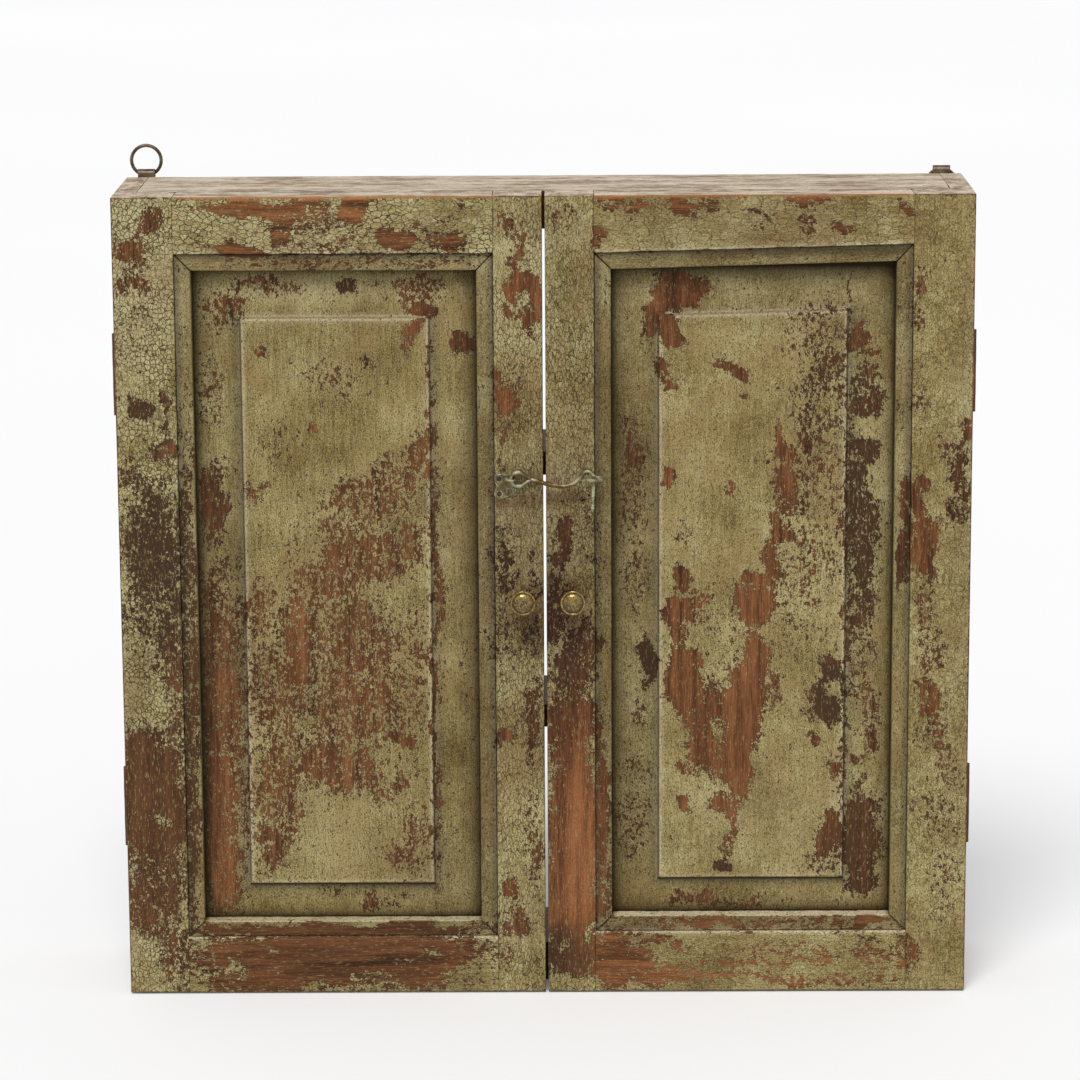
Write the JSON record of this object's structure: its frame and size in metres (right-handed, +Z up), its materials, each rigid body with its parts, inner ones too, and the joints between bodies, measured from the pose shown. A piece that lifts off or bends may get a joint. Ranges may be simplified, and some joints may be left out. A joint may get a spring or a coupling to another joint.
{
  "type": "wall cupboard",
  "caption": "Shallow open-backed wooden wall cupboard with panelled double doors on butt hinges, a hook-and-eye latch, small knobs, inner shelves and ring hangers.",
  "frame": {"origin": "middle of the carcass's underside: half its width and half its depth, at the floor", "axes": "+Z up, +X to the viewer's right when facing the doors, -Y out of the doors, +Y to the wall"},
  "size_m": [0.751, 0.1742, 0.7402],
  "materials": {
    "painted_wood": "old olive-green paint, crackled and worn through to red-brown wood",
    "bare_wood": "dull unpainted brown wood",
    "brass": "aged polished brass",
    "bronze": "brown tarnished brass with pale green verdigris",
    "iron": "dark rusted iron"
  },
  "bodies": {
    "carcass": {"side_left": "painted_wood", "side_right": "painted_wood", "top_board": "painted_wood", "bottom_board": "bare_wood", "upper_shelf": "bare_wood", "lower_shelf": "bare_wood", "nail_left_top_front": "iron", "nail_left_top_back": "iron", "nail_left_bottom_front": "iron", "nail_left_bottom_back": "iron", "nail_right_top_front": "iron", "nail_right_top_back": "iron", "nail_right_bottom_front": "iron", "nail_right_bottom_back": "iron", "left_upper_hinge_carcass_leaf": "iron", "left_upper_hinge_pin": "iron", "left_lower_hinge_carcass_leaf": "iron", "left_lower_hinge_pin": "iron", "right_upper_hinge_carcass_leaf": "iron", "right_upper_hinge_pin": "iron", "right_lower_hinge_carcass_leaf": "iron", "right_lower_hinge_pin": "iron", "left_ring_strap": "bronze", "right_ring_strap": "bronze", "left_ring_strap_inner_screw": "iron", "left_ring_strap_outer_screw": "iron", "right_ring_strap_inner_screw": "iron", "right_ring_strap_outer_screw": "iron"},
    "left_door": {"left_hinge_stile": "painted_wood", "left_meeting_stile": "painted_wood", "left_top_rail": "painted_wood", "left_bottom_rail": "painted_wood", "left_panel": "painted_wood", "left_top_moulding": "painted_wood", "left_bottom_moulding": "painted_wood", "left_hinge_moulding": "painted_wood", "left_meeting_moulding": "painted_wood", "left_knob": "brass", "left_upper_hinge_door_leaf": "iron", "left_lower_hinge_door_leaf": "iron", "latch_plate": "bronze", "latch_upper_screw": "bronze", "latch_lower_screw": "bronze"},
    "right_door": {"right_hinge_stile": "painted_wood", "right_meeting_stile": "painted_wood", "right_top_rail": "painted_wood", "right_bottom_rail": "painted_wood", "right_panel": "painted_wood", "right_top_moulding": "painted_wood", "right_bottom_moulding": "painted_wood", "right_hinge_moulding": "painted_wood", "right_meeting_moulding": "painted_wood", "right_knob": "brass", "right_upper_hinge_door_leaf": "iron", "right_lower_hinge_door_leaf": "iron", "latch_eye": "bronze"},
    "latch_hook": {"latch_hook": "bronze"},
    "left_ring": {"left_ring": "bronze"},
    "right_ring": {"right_ring": "bronze"}
  },
  "joints": [
    {"name": "left_door_hinge", "type": "hinge", "parent": "carcass", "child": "left_door", "pos_m": [-0.3729, -0.0544, 0], "axis": [0, 0, -1], "range_deg": [0, 180]},
    {"name": "right_door_hinge", "type": "hinge", "parent": "carcass", "child": "right_door", "pos_m": [0.3729, -0.0544, 0], "axis": [0, 0, 1], "range_deg": [0, 180]},
    {"name": "hook_pivot", "type": "hinge", "parent": "left_door", "child": "latch_hook", "pos_m": [-0.0225, -0.0908, 0.465], "axis": [0, -1, 0], "range_deg": [0, 115]},
    {"name": "left_ring_pivot", "type": "hinge", "parent": "carcass", "child": "left_ring", "pos_m": [-0.353, 0.05861, 0.7134], "axis": [1, 0, 0], "range_deg": [-180, 90]},
    {"name": "right_ring_pivot", "type": "hinge", "parent": "carcass", "child": "right_ring", "pos_m": [0.353, 0.05861, 0.7134], "axis": [1, 0, 0], "range_deg": [0, 270]}
  ]
}
